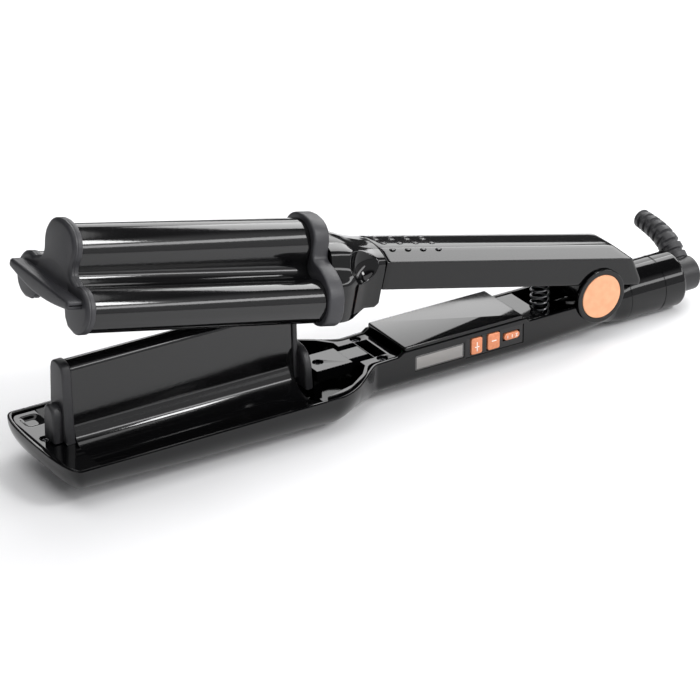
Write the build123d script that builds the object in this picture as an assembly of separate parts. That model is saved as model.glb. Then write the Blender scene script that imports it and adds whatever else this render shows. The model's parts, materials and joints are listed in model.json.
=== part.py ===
from build123d import *
import os
from math import sin, cos, radians

# Hair crimper: a lower arm with a wide tray and a tall ridge plate, an upper arm with a two-lobed plate
# that closes over the ridge, a sprung hinge near the tail and a swivelling cord outlet.
# Pieces are drawn with x = 0 at the hinge axis and z = 0 on the resting face, +X towards the cord end,
# +Z up, and -Y is the side with the display and the buttons. At export they are moved along X so that
# the origin is the middle of the keel's resting face. All lengths are in millimetres.

# ---------------------------------------------------------------- driving dimensions
grip_half_width = 15.0
wall = 2.0
clearance = 0.3
running_fit = 0.05

hinge_z = 22.5
handle_bottom_z = 5.0
handle_corner_radius = 4.4
parting_z = 21.2
pad_top_z = 23.2
deck_top_z = 19.2

# The jaws are parallel when closed. The model is stored open, as the spring holds it.
open_angle = 12.15
grip_lean = 0.95

tray_half_width = 31.4
tray_wall = 1.9
rim_z = 18.2
keel_half_width = 10.2
keel_radius = tray_half_width - keel_half_width
tray_front_x = -268.5
keel_x = (-256.5, -146.0)
tray_straight_x = -143.0
neck_x = -114.0
housing_rear_x = 20.0

# ridge plate of the lower jaw
lower_plate_x = (-252.5, -150.0)
ridge_radius = 4.4
ridge_top_z = 52.0
ridge_root = (5.2, 24.5)
plate_wall = 2.0
lower_plate_half_width = 28.2
deck_inset = 2.6
front_deck_z = 16.9

# two-lobed plate of the upper jaw, in the closed pose
upper_plate_x = (-260.4, -152.5)
dome_radius = 10.5
dome_z = 45.1
lobe_radius = 9.0
lobe_y = 20.2
lobe_z = 27.4
lobe_cap_radius = 9.5
channel_half_width = 7.0
channel_top_z = 53.0
heater_radius = 5.4

# hinge
pin_radius = 3.0
ear_y = (9.6, 12.6)
ear_radius = 10.5
lug_half_width = 9.2
lug_radius = 7.5
ring_y = (15.3, 16.6)
ring_radius = 12.3
hub_radius = 4.0
disc_radius = 10.0
disc_y = (15.9, 16.9)

# tail barrel, swivel and strain relief
barrel_x = (20.0, 50.5)
barrel_radius = 12.6
barrel_axis_z = 12.6
barrel_wall = 2.2
swivel_radius = 7.75
swivel_end_x = 62.0
flange_radius = 9.4
boot_x = 56.4
boot_path = ((0.0, 0.0), (6.0, 7.2), (12.0, 12.0), (20.0, 14.6), (31.0, 15.8))
boot_root_radius = 5.6
boot_tip_radius = 4.35
boot_rib_count = 8
cord_radius = 2.6

# display and buttons on the -Y wall
window_x = (-95.4, -70.5)
window_z = (11.0, 18.0)
panel_x = (-69.6, -39.8)
panel_z = (10.2, 19.2)
panel_face_y = -14.6
button_face_y = -15.5
button_travel = 0.6
plus_size = ((-67.0, -61.4), (11.2, 18.7))
minus_size = ((-58.5, -52.4), (11.2, 18.7))
power_size = ((-50.1, -42.1), (13.5, 16.7))

# opening spring, between the two grips
spring_x = -21.0
spring_coil_radius = 4.0
spring_wire_radius = 0.5
spring_turns = 6
spring_base_z = 11.0
spring_length = 19.0


# ---------------------------------------------------------------- small helpers
def block(x0, x1, y0, y1, z0, z1):
    """Box between two corners."""
    return Pos((x0 + x1) / 2, (y0 + y1) / 2, (z0 + z1) / 2) * Box(x1 - x0, y1 - y0, z1 - z0)


def rod_x(radius, x0, x1, y, z):
    """Round bar along X."""
    return Pos((x0 + x1) / 2, y, z) * Rot(0, 90, 0) * Cylinder(radius, x1 - x0)


def rod_y(radius, y0, y1, x, z):
    """Round bar along Y."""
    return Pos(x, (y0 + y1) / 2, z) * Rot(90, 0, 0) * Cylinder(radius, y1 - y0)


def rod_z(radius, z0, z1, x, y):
    """Round bar along Z."""
    return Pos(x, y, (z0 + z1) / 2) * Cylinder(radius, z1 - z0)


def prism_x(half, x0, x1):
    """Symmetric outline given as (y, z) from the top centre to the bottom centre, carried along X."""
    right = [(x0, y, z) for y, z in half]
    left = [(x0, -y, z) for y, z in reversed(half) if y > 0]
    return extrude(make_face(Polyline(*right, *left, close=True)), amount=x1 - x0, dir=(1, 0, 0))


def prism_y(points, y0, y1):
    """Outline given as (x, z), carried along Y."""
    face = make_face(Polyline(*[(x, y0, z) for x, z in points], close=True))
    return extrude(face, amount=y1 - y0, dir=(0, 1, 0))


def prism_z(points, z0, z1):
    """Outline given as (x, y), carried along Z."""
    face = make_face(Polyline(*[(x, y, z0) for x, y in points], close=True))
    return extrude(face, amount=z1 - z0, dir=(0, 0, 1))


def mirrored_face(half):
    """Face between a half outline that ends on the XZ plane and its mirror image."""
    return make_face(half + mirror(half, about=Plane.XZ))


def both_sides(part):
    """The part and its mirror image across the XZ plane."""
    return part + mirror(part, about=Plane.XZ)


def open_jaw(part):
    """Turns a piece drawn in the closed pose to the stored, open pose."""
    return Pos(0, 0, hinge_z) * Rot(0, open_angle, 0) * Pos(0, 0, -hinge_z) * part


def open_grip(part):
    """Places a piece drawn along the upper grip, with its origin on the hinge axis."""
    return Pos(0, 0, hinge_z) * Rot(0, open_angle + grip_lean, 0) * part


# ---------------------------------------------------------------- lower housing
def tray_plan(inset, z0, z1):
    """Plan shape of the tray: straight sides, bulged front and S-shaped shoulders into the grip."""
    width = tray_half_width - inset
    neck = grip_half_width - inset
    corner = 6.0
    front = tray_front_x + inset
    side_front_x = front + 9.0
    half = (
        Line((neck_x + 12, 0, z0), (neck_x + 12, neck, z0))
        + Line((neck_x + 12, neck, z0), (neck_x, neck, z0))
        + Spline(
            (neck_x, neck, z0),
            (-121.5, neck + 5.6, z0),
            (-130.5, width - 4.4, z0),
            (tray_straight_x, width, z0),
            tangents=[(-1, 0, 0), (-1, 0, 0)],
        )
        + Line((tray_straight_x, width, z0), (side_front_x, width, z0))
        + ThreePointArc(
            (side_front_x, width, z0),
            (side_front_x - 0.68 * corner, width - 0.22 * corner, z0),
            (side_front_x - corner, width - corner, z0),
        )
        + Spline(
            (side_front_x - corner, width - corner, z0),
            (front + 0.7, width * 0.45, z0),
            (front, 0, z0),
            tangents=[(-0.3, -1, 0), (0, -1, 0)],
        )
    )
    return extrude(mirrored_face(half), amount=z1 - z0, dir=(0, 0, 1))


def tray_section(inset):
    """Cross-section of the tray: flat keel and large corner radii."""
    radius = keel_radius - inset
    mid = 0.7071
    x0 = tray_front_x - 5
    centre_z = keel_radius
    half = (
        Line((x0, 0, 40), (x0, keel_half_width + radius, 40))
        + Line((x0, keel_half_width + radius, 40), (x0, keel_half_width + radius, centre_z))
        + ThreePointArc(
            (x0, keel_half_width + radius, centre_z),
            (x0, keel_half_width + radius * mid, centre_z - radius * mid),
            (x0, keel_half_width, centre_z - radius),
        )
        + Line((x0, keel_half_width, centre_z - radius), (x0, 0, centre_z - radius))
    )
    return extrude(mirrored_face(half), amount=neck_x + 12 - x0, dir=(1, 0, 0))


def tray_side(inset):
    """Side profile of the tray: rounded front underside, keel, rise to the grip."""
    front = tray_front_x + inset
    low = inset
    y0 = -50
    outline = (
        Line((front, y0, 40), (front, y0, 12))
        + Spline(
            (front, y0, 12),
            (front + 2.6, y0, low + 4.6),
            (keel_x[0] + inset, y0, low),
            tangents=[(0, 0, -1), (1, 0, 0)],
        )
        + Line((keel_x[0] + inset, y0, low), (keel_x[1], y0, low))
        + Spline(
            (keel_x[1], y0, low),
            (-131, y0, low + handle_bottom_z / 2),
            (neck_x, y0, handle_bottom_z + inset),
            tangents=[(1, 0, 0), (1, 0, 0)],
        )
        + Line((neck_x, y0, handle_bottom_z + inset), (neck_x + 12, y0, handle_bottom_z + inset))
        + Line((neck_x + 12, y0, handle_bottom_z + inset), (neck_x + 12, y0, 40))
        + Line((neck_x + 12, y0, 40), (front, y0, 40))
    )
    return extrude(make_face(outline), amount=100, dir=(0, 1, 0))


def tray_body(inset):
    """Outer or inner form of the tray, cut level at the rim."""
    return (tray_plan(inset, -1, 30) & tray_section(inset)) & tray_side(inset)


def grip_form(inset, x0, x1, top):
    """Grip channel with rounded lower corners."""
    width = grip_half_width - inset
    low = handle_bottom_z + inset
    radius = handle_corner_radius - inset / 2
    body = block(x0, x1, -width, width, low, top)
    edges = body.edges().filter_by(Axis.X).group_by(Axis.Z)[0]
    return fillet(edges, radius)


def rim_trim():
    """Everything above the rim line: high beside the pad, lower at the tray and at the hinge well."""
    top = 40
    points = [
        (tray_front_x - 5, rim_z),
        (-128.0, rim_z),
        (-118.0, deck_top_z),
        (-103.5, deck_top_z),
        (-101.0, parting_z),
        (-38.5, parting_z),
        (-37.0, 19.5),
        (housing_rear_x, 19.5),
        (housing_rear_x, top),
        (tray_front_x - 5, top),
    ]
    return prism_y(points, -50, 50)


def lower_housing():
    outer = tray_body(0) + grip_form(0, neck_x - 6, 14, 30)
    inner = tray_body(tray_wall) + grip_form(wall, neck_x - 12, 11.5, 30)
    shell = outer - inner
    shoulder = rod_x(barrel_radius, 11.5, housing_rear_x, 0, barrel_axis_z)
    shoulder -= rod_x(barrel_radius - barrel_wall, 13.7, housing_rear_x, 0, barrel_axis_z)
    shell = shell - rim_trim() + shoulder
    ears = both_sides(
        rod_y(ear_radius, ear_y[0], ear_y[1], 0, hinge_z)
        + block(-ear_radius, ear_radius, ear_y[0], grip_half_width - wall, 6, 19)
    )
    shell += ears
    shell -= both_sides(rod_y(hub_radius + 0.1, ear_y[1], 20, 0, hinge_z))
    shell -= rod_y(pin_radius + running_fit, -20, 20, 0, hinge_z)
    shell -= block(*window_x, -20, -12.5, *window_z)
    shell -= block(*panel_x, -20, -12.5, *panel_z)
    return shell


def front_deck():
    """Flat deck in front of the ridge plate, with a shallow finger dimple and a screw recess."""
    plan = tray_plan(deck_inset, 15.4, front_deck_z)
    plate = plan & block(tray_front_x, lower_plate_x[0] - 0.4, -40, 40, 0, 30)
    plate -= rod_z(2.2, front_deck_z - 1.0, 19, -263.0, -14.0)
    plate -= Pos(-261.5, 9, front_deck_z) * Box(5, 12, 1.0)
    return plate


def rear_deck():
    """Deck behind the ridge plate: pockets beside the bracket, a slot and two screw recesses."""
    plate = tray_plan(deck_inset, 16.9, deck_top_z)
    plate &= block(lower_plate_x[1] + 0.6, neck_x + 12, -40, 40, 0, 30)
    plate -= block(-140.0, -111.8, -8.4, 8.4, 0, 30)
    pocket = [(-152, -1), (-139, -1), (-139, 8), (-119, 8), (-119, 12.5), (-124, 18.5), (-133, 24.8), (-152, 30)]
    plate -= both_sides(prism_z(pocket, 0, 30))
    plate -= block(-111.3, -105.4, -8, 8, 0, 30)
    for side in (-1, 1):
        plate -= rod_z(2.4, 17.6, 30, -109.2, side * 10.6)
    return plate


def plate_bracket():
    """Arm that carries the rear end of the ridge plate, screwed to the housing."""
    wide = block(-139.5, -122, -7.6, 7.6, 14.6, 19.6)
    narrow = block(-122, -112.2, -4.3, 4.3, 15.2, 19.4)
    foot = block(-138.5, -134.5, -3.5, 3.5, 4.1, 14.6)
    return wide + narrow + foot - rod_z(2.4, 17.8, 21, -134.5, 0)


# ---------------------------------------------------------------- lower jaw
def ridge_outline(x0, thickness, edge_drop):
    """Half outline of the ridge plate's surface, moved inwards by a thickness."""
    radius = ridge_radius - thickness
    top = ridge_top_z - ridge_radius
    root_y = ridge_root[0] - thickness
    mid = 0.7071
    return (
        ThreePointArc(
            (x0, 0, top + radius),
            (x0, radius * mid, top + radius * mid),
            (x0, radius, top),
        )
        + Line((x0, radius, top), (x0, root_y, ridge_root[1]))
        + Spline(
            (x0, root_y, ridge_root[1]),
            (x0, 7.9 - 0.75 * thickness, 18.2 - 0.65 * thickness),
            (x0, 16.3, 14.2 - thickness),
            (x0, lower_plate_half_width, 17.4 - edge_drop),
            tangents=[(0, 0.04, -1), (0, 1, 0.3)],
        )
    )


def lower_wave_plate():
    x0, x1 = lower_plate_x
    edge = Line((x0, lower_plate_half_width, 17.4), (x0, lower_plate_half_width, 17.4 - plate_wall))
    half = ridge_outline(x0, 0, 0) + edge + ridge_outline(x0, plate_wall, plate_wall)
    return extrude(mirrored_face(half), amount=x1 - x0, dir=(1, 0, 0))


def lower_heater():
    """Flat ceramic heating bar inside the ridge."""
    gap = 0.25
    half_thickness = ridge_radius - plate_wall - gap
    bar = block(lower_plate_x[0] + 6, lower_plate_x[1] - 8, -half_thickness, half_thickness, 24, 47.2)
    return fillet(bar.edges().filter_by(Axis.X), 0.6)


def lower_front_cap():
    x_front = -257.0
    half = [
        (0, 52.6), (2.6, 52.2), (4.4, 50.9), (5.3, 48.6), (5.8, 38), (6.4, 26), (7.6, 21.4), (10.0, 18.6),
        (13.0, 18.1), (13.0, 17.9), (0, 17.9),
    ]
    cap = prism_x(half, x_front, lower_plate_x[0] - 0.1)
    thumb = block(-261.3, x_front, -4.2, 4.2, 17.9, 30) + rod_x(4.2, -261.3, x_front, 0, 30)
    return cap + thumb


def lower_rear_cap():
    x0, x1 = lower_plate_x[1] + 0.1, -140.4
    blade = prism_x([(0, 52.4), (2.9, 51.8), (4.6, 50.2), (5.2, 47), (5.8, 30), (6.6, 19), (0, 19)], x0, x0 + 2.2)
    collar = prism_x([(0, 33), (5, 32.4), (9, 30.2), (11.3, 26), (12, 20), (12, 15), (0, 15)], x0 + 4, x1)
    web = block(x0 + 1, x0 + 5, -4.5, 4.5, 16, 30)
    return blade + collar + web


# ---------------------------------------------------------------- lower grip, display and buttons
def lower_grip_cover():
    pad = block(-100.5, -40.0, -14.7, 14.7, parting_z, pad_top_z)
    pad = chamfer(pad.edges().group_by(Axis.Z)[-1], 0.8)
    rib = block(-99.0, -42.0, -12.8, 12.8, 19.8, parting_z)
    return pad + rib


def well_cover():
    plate = block(-38.2, -27.0, -12.8, 12.8, 17.4, 19.2)
    return plate


def display_window():
    return block(window_x[0] + 0.05, window_x[1] - 0.05, -14.8, -13.6, window_z[0] + 0.05, window_z[1] - 0.05)


def display_module():
    return block(window_x[0] - 1.2, window_x[1] + 0.8, -12.9, -11.2, window_z[0] - 1.2, window_z[1] + 1.2)


def button_hole(size, gap):
    """Clear hole for one button through the panel."""
    (x0, x1), (z0, z1) = size
    return block(x0 - gap, x1 + gap, -20, -10, z0 - gap, z1 + gap)


def button_panel():
    gap = 0.05
    plate = block(panel_x[0] + gap, panel_x[1] - gap, panel_face_y, -13.3, panel_z[0] + gap, panel_z[1] - gap)
    for size in (plus_size, minus_size, power_size):
        plate -= button_hole(size, clearance)
    return plate


def button(size, corner):
    """Key with a rounded face and a stop flange behind the panel."""
    (x0, x1), (z0, z1) = size
    cap = block(x0, x1, button_face_y, -12.6, z0, z1)
    cap = fillet(cap.edges().filter_by(Axis.Y), corner)
    cap = chamfer(cap.faces().sort_by(Axis.Y)[0].edges(), 0.25)
    flange = block(x0 - 0.7, x1 + 0.7, -12.9, -12.4, z0 - 0.7, z1 + 0.7)
    return cap + flange


def control_board():
    return block(-98.0, -39.0, -9.6, -8.0, 8.2, 18.8)


def tact_switches():
    """One switch behind each key."""
    parts = []
    for (x0, x1), (z0, z1) in (plus_size, minus_size, power_size):
        x, z = (x0 + x1) / 2, (z0 + z1) / 2
        body = block(x - 1.6, x + 1.6, -11.3, -9.6, z - 1.6, z + 1.6)
        parts.append(body + rod_y(0.7, -11.7, -11.3, x, z))
    return Compound(children=parts)


# ---------------------------------------------------------------- hinge
def hinge_pin():
    return rod_y(pin_radius, -12.4, 12.4, 0, hinge_z)


def hinge_ring(side):
    """Black pivot cover: hub on the ear, back plate and raised rim round the coloured disc."""
    inner, outer = ring_y
    hub = rod_y(hub_radius, ear_y[1], inner, 0, hinge_z)
    plate = rod_y(ring_radius, inner, outer, 0, hinge_z)
    plate -= rod_y(disc_radius + 0.05, disc_y[0], outer + 1, 0, hinge_z)
    ring = hub + chamfer(plate.edges().group_by(Axis.Y)[-1], 0.3)
    return ring if side > 0 else mirror(ring, about=Plane.XZ)


def hinge_disc(side):
    disc = rod_y(disc_radius, disc_y[0], disc_y[1], 0, hinge_z)
    disc = fillet(disc.edges().group_by(Axis.Y)[-1], 0.6)
    return disc if side > 0 else mirror(disc, about=Plane.XZ)


def opening_spring():
    """Compression spring that pushes the grips apart, one sweep for each turn."""
    pitch = spring_length / spring_turns
    path = Helix(pitch, pitch, spring_coil_radius)
    turn = sweep(Plane(path @ 0, z_dir=path % 0) * Circle(spring_wire_radius), path=path)
    coil = turn
    for i in range(1, spring_turns):
        coil += Pos(0, 0, i * pitch) * turn
    return Pos(spring_x, 0, spring_base_z) * coil


def lower_spring_seat():
    """Cup on the housing floor with a post inside the coil."""
    cup = rod_z(5.6, 7.0, spring_base_z - 0.6, spring_x, 0)
    return cup + rod_z(2.6, spring_base_z - 0.6, 18, spring_x, 0)


# ---------------------------------------------------------------- tail, swivel and strain relief
def tail_barrel():
    x0, x1 = barrel_x
    tube = rod_x(barrel_radius, x0 + 0.05, x1, 0, barrel_axis_z)
    tube = fillet(tube.edges().group_by(Axis.X)[-1], 2.0)
    tube -= rod_x(barrel_radius - barrel_wall, x0, x1 - 4.5, 0, barrel_axis_z)
    return tube - rod_x(swivel_radius + running_fit, x0, x1 + 1, 0, barrel_axis_z)


def swivel_head():
    """Turning head: retained by its flange, with a round end cap outside the barrel."""
    head = rod_x(swivel_radius, 43, swivel_end_x, 0, barrel_axis_z)
    head = fillet(head.edges().group_by(Axis.X)[-1], 1.6)
    head += rod_x(flange_radius, 43, barrel_x[1] - 4.5 - 0.2, 0, barrel_axis_z)
    return head - rod_x(4.2, 42, boot_x, 0, barrel_axis_z)


def boot_points():
    return [(boot_x, y, barrel_axis_z + z) for y, z in boot_path]


def strain_relief():
    """Ribbed rubber sleeve that leaves the head sideways and bends level, with a bore for the cord."""
    path = Spline(*boot_points())
    sections = []
    steps = 2 * boot_rib_count
    start = 0.2
    for i in range(steps + 1):
        t = start + (1 - start) * i / steps
        taper = boot_root_radius + (boot_tip_radius - boot_root_radius) * i / steps
        groove = 0.45 if i % 2 else 0.0
        sections.append(Plane(path @ t, z_dir=path % t) * Circle(taper - groove))
    sleeve = loft([s.face() for s in sections], ruled=True)
    outside = rod_x(swivel_radius + 0.02, 40, 70, 0, barrel_axis_z)
    tip = path @ 1
    bore = Plane(tip, z_dir=path % 1) * Cylinder(cord_radius, 24)
    return sleeve - outside - bore


def cable_clamp():
    """Clamp block inside the barrel that grips the cord behind the swivel."""
    body = rod_x(7.5, 26, 34, 0, barrel_axis_z) - rod_x(3.2, 25, 35, 0, barrel_axis_z)
    feet = block(26, 34, -1.6, 1.6, barrel_axis_z - 10.25, barrel_axis_z - 7)
    return body + feet


# ---------------------------------------------------------------- upper jaw, drawn closed
def lobe_point(x0, angle, radius):
    """Point on a lobe's circle at an angle from +Y, in degrees."""
    return (x0, lobe_y + radius * cos(radians(angle)), lobe_z + radius * sin(radians(angle)))


def upper_wave_plate():
    x0, x1 = upper_plate_x
    outer_join, inner_join = 115, 165
    bend = (0, sin(radians(outer_join)), -cos(radians(outer_join)))
    mid = 0.7071
    half = (
        ThreePointArc(
            (x0, 0, dome_z + dome_radius),
            (x0, dome_radius * mid, dome_z + dome_radius * mid),
            (x0, dome_radius, dome_z),
        )
        + Line((x0, dome_radius, dome_z), (x0, 10.2, 39.6))
        + Spline((x0, 10.2, 39.6), lobe_point(x0, outer_join, lobe_radius), tangents=[(0, 0, -1), bend])
        + ThreePointArc(
            lobe_point(x0, outer_join, lobe_radius),
            lobe_point(x0, -40, lobe_radius),
            lobe_point(x0, inner_join, lobe_radius),
        )
        + Spline(
            lobe_point(x0, inner_join, lobe_radius),
            (x0, channel_half_width, 35),
            tangents=[(0, 0.2, 1), (0, 0, 1)],
        )
        + Line((x0, channel_half_width, 35), (x0, channel_half_width, 46))
        + ThreePointArc(
            (x0, channel_half_width, 46),
            (x0, channel_half_width * mid, 46 + channel_half_width * mid),
            (x0, 0, channel_top_z),
        )
    )
    plate = extrude(mirrored_face(half), amount=x1 - x0, dir=(1, 0, 0))
    for side in (-1, 1):
        plate -= rod_x(heater_radius + 0.25, x0 - 1, x1 + 1, side * lobe_y, lobe_z)
    return plate


def upper_heaters():
    """Round cartridge heater in each lobe."""
    return Compound(
        children=[rod_x(heater_radius, -250, -160, side * lobe_y, lobe_z) for side in (-1, 1)]
    )


def upper_front_cap():
    back, front = upper_plate_x[0] - 0.1, -264.6
    inner_front = -262.6
    length = back - front
    half = (
        Spline(
            (front, 0, 57.7), (front, 9.6, 54.6), (front, 12.4, 47.6), (front, 11.0, 40.3), (front, 18.8, 34.6),
            tangents=[(0, 1, 0), (0, 1, 0)],
        )
        + Line((front, 18.8, 34.6), (front, 18.8, 29.5))
        + Line((front, 18.8, 29.5), (front, 0, 29.5))
    )
    cap = extrude(mirrored_face(half), amount=length, dir=(1, 0, 0))
    for side in (-1, 1):
        cap += rod_x(lobe_cap_radius, front + 0.8, back, side * lobe_y, lobe_z)
    channel = block(inner_front, back + 1, -7.7, 7.7, 0, 46) + rod_x(7.7, inner_front, back + 1, 0, 46)
    cap -= channel
    cap -= block(front - 1, inner_front, -7.7, 7.7, 0, 29.6)
    tab = prism_z([(-271.2, -24.4), (-271.2, 24.4), (-262, 24.7), (-262, -24.7)], 29.0, 33.0)
    tab += prism_z([(-270.6, -14), (-270.6, 14), (front, 14), (front, -14)], 26.8, 29.5)
    fillet_strip = prism_y([(front + 0.1, 32.9), (-268, 32.9), (-265.6, 34.4), (front + 0.1, 38)], -11, 11)
    cap += tab - block(inner_front, back, -7.7, 7.7, 0, 40)
    cap += fillet_strip
    for side in (-1, 1):
        cap -= rod_x(2.3, front - 2, front + 4.05, side * 14.2, 22.8)
    return cap


def upper_front_screws():
    return Compound(children=[rod_x(2.1, -263.2, -260.7, side * 14.2, 22.8) for side in (-1, 1)])


def upper_rear_cap():
    x0, x1 = upper_plate_x[1] + 0.1, -144.5
    half = (
        Spline(
            (x0, 0, 59.5), (x0, 9.4, 55.8), (x0, 12.0, 47.9), (x0, 13.2, 42.2), (x0, 20.3, 40.6), (x0, 27.8, 34.8),
            (x0, 31.0, 26.5),
            tangents=[(0, 1, 0), (0, 0, -1)],
        )
        + ThreePointArc((x0, 31.0, 26.5), (x0, 28.4, 20.2), (x0, 22, 17.6))
        + Line((x0, 22, 17.6), (x0, 16, 18.4))
        + Line((x0, 16, 18.4), (x0, 12.9, 21))
        + Line((x0, 12.9, 21), (x0, 12.9, 34.2))
        + Line((x0, 12.9, 34.2), (x0, 7.9, 36))
        + Line((x0, 7.9, 36), (x0, 7.9, 46.2))
        + ThreePointArc((x0, 7.9, 46.2), (x0, 5.6, 51.8), (x0, 0, 54.1))
    )
    return extrude(mirrored_face(half), amount=x1 - x0, dir=(1, 0, 0))


def upper_neck():
    """Shoulder between the jaw and the grip, with a dished hollow each side."""
    plan = [(-144.4, 22), (-138, 21.3), (-134, 20), (-130, 17.8), (-126, 16.2), (-121, 15.4), (-116.7, 15)]
    body = prism_z(plan + [(x, -y) for x, y in reversed(plan)], 10, 60)
    profile = [
        (-144.4, 49), (-134, 48.5), (-127, 46.6), (-116.7, 45.4), (-116.7, 22.4), (-118.5, 21), (-124, 21),
        (-127, 19), (-130.5, 17.4), (-144.4, 17.2),
    ]
    body &= prism_y(profile, -40, 40)
    body &= prism_x([(0, 49), (9, 47.6), (15, 41.5), (22, 34), (22, 10), (0, 10)], -150, -110)
    for side in (-1, 1):
        body -= Pos(-127.0, side * 20.0, 44.0) * Sphere(8.2)
    body -= block(-145, -138.0, -12.9, 12.9, 0, 34.2)
    body -= block(-139, -110, -8.6, 8.6, 0, 22.2)
    body -= block(-145, -121, -8, 8, 0, 40)
    return body


# ---------------------------------------------------------------- upper grip, drawn along its own axis
grip_section = [(0, 20.8), (8, 20.2), (15, 16.75), (15, 4.4), (0, 4.4)]
grip_hollow = [(0, 18.6), (7.2, 18.1), (13, 15.4), (13, 0), (0, 0)]


def upper_top_cover():
    x_front, x_rear = -116.5, 22.0
    shell = prism_x(grip_section, x_front, x_rear) - prism_x(grip_hollow, x_front + 2, x_rear + 2)
    shell -= prism_y([(7.9, 20.9), (14.6, 16.75), (21.9, 6.7), (23.5, 4), (30, 4), (30, 30), (7.9, 30)], -20, 20)
    rear = prism_y([(6.6, 20.3), (12.8, 15.6), (20.0, 5.2), (21.7, 6.4), (14.4, 16.5), (8.0, 20.6)], -13.2, 13.2)
    rear &= prism_x([(0, 20.8), (8, 20.2), (13.2, 17.4), (13.2, 4.4), (0, 4.4)], 0, 25)
    return shell + rear


def upper_inner_cover():
    """Inside face of the upper grip, with the hinge lug and the spring's seat."""
    plate = block(-111.4, 7.5, -12.8, 12.8, 4.4, 6.2)
    lug = rod_y(lug_radius, -lug_half_width, lug_half_width, 0, 0)
    lug += block(-lug_radius, 7.0, -lug_half_width, lug_half_width, 0, 5)
    plate -= both_sides(block(-12, 9, ear_y[0] - clearance, 15, 0, 10))
    stub = rod_z(2.6, 0.2, 4.6, spring_x - 1.5, 0)
    return plate + lug + stub - rod_y(pin_radius + running_fit, -20, 20, 0, 0)


# ---------------------------------------------------------------- screws on the lower arm
def deck_screws():
    """Pan-head screws in the deck recesses and on the bracket."""
    places = [(-109.2, 10.6, 17.6), (-109.2, -10.6, 17.6), (-134.5, 0, 17.8), (-263.0, -14.0, front_deck_z - 1.0)]
    return Compound(children=[rod_z(2.0, z, z + 0.9, x, y) for x, y, z in places])


# ---------------------------------------------------------------- assembly
def build():
    envelope = rod_x(barrel_radius + 0.5, 8, 60, 0, barrel_axis_z)
    return {
        "lower_housing": lower_housing(),
        "front_deck": front_deck(),
        "rear_deck": rear_deck(),
        "plate_bracket": plate_bracket(),
        "lower_wave_plate": lower_wave_plate(),
        "lower_heater": lower_heater(),
        "lower_front_cap": lower_front_cap(),
        "lower_rear_cap": lower_rear_cap(),
        "lower_grip_cover": lower_grip_cover(),
        "well_cover": well_cover(),
        "display_window": display_window(),
        "display_module": display_module(),
        "button_panel": button_panel(),
        "plus_button": button(plus_size, 0.9),
        "minus_button": button(minus_size, 0.9),
        "power_button": button(power_size, 1.55),
        "control_board": control_board(),
        "tact_switches": tact_switches(),
        "deck_screws": deck_screws(),
        "hinge_pin": hinge_pin(),
        "hinge_ring_near": hinge_ring(-1),
        "hinge_ring_far": hinge_ring(1),
        "hinge_disc_near": hinge_disc(-1),
        "hinge_disc_far": hinge_disc(1),
        "opening_spring": opening_spring(),
        "lower_spring_seat": lower_spring_seat(),
        "tail_barrel": tail_barrel(),
        "cable_clamp": cable_clamp(),
        "swivel_head": swivel_head(),
        "strain_relief": strain_relief(),
        "upper_wave_plate": open_jaw(upper_wave_plate()),
        "upper_heaters": open_jaw(upper_heaters()),
        "upper_front_cap": open_jaw(upper_front_cap()),
        "upper_front_screws": open_jaw(upper_front_screws()),
        "upper_rear_cap": open_jaw(upper_rear_cap()),
        "upper_neck": open_jaw(upper_neck()),
        "upper_top_cover": open_grip(upper_top_cover()) - envelope,
        "upper_inner_cover": open_grip(upper_inner_cover()),
    }


to_origin = Pos(-(keel_x[0] + keel_x[1]) / 2, 0, 0)
os.makedirs("parts", exist_ok=True)
for name, part in build().items():
    export_step(to_origin * part, f"parts/{name}.step")
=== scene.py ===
import bpy
import bmesh
import json
import numpy as np
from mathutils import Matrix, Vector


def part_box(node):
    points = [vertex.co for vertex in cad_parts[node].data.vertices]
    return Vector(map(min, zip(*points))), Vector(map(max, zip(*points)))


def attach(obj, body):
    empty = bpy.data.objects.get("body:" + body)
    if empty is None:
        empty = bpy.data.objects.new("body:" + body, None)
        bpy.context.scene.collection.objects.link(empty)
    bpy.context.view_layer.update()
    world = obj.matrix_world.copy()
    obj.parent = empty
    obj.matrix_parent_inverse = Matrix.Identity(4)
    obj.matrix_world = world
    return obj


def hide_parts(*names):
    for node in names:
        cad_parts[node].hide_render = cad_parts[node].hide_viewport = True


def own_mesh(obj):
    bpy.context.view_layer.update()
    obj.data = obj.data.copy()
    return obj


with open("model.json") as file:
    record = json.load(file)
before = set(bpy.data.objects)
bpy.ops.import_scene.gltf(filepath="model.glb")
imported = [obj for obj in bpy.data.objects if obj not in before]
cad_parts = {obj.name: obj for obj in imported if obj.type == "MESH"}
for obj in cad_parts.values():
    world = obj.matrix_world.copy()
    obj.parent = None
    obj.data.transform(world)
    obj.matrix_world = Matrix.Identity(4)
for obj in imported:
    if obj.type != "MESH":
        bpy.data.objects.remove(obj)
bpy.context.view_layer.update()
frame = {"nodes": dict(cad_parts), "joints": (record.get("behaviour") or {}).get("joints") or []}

# ================================================================ studio
# A pale seamless floor under a large softbox, with panels and a long strip that draw the highlights on
# black gloss, and one small lamp that sparkles in the dished shoulder of the upper arm.
MM = 0.001
hinge = next(joint for joint in frame["joints"] if joint["name"] == "arm_hinge")
foot = np.array([hinge["pos_m"][0], 0.0, 0.0])


def look_at(place, target):
    """Rotation that points an object's -Z from place to target, with +Z of the world kept upright."""
    from mathutils import Vector

    return (Vector(target) - Vector(place)).to_track_quat("-Z", "Y").to_euler()


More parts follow.
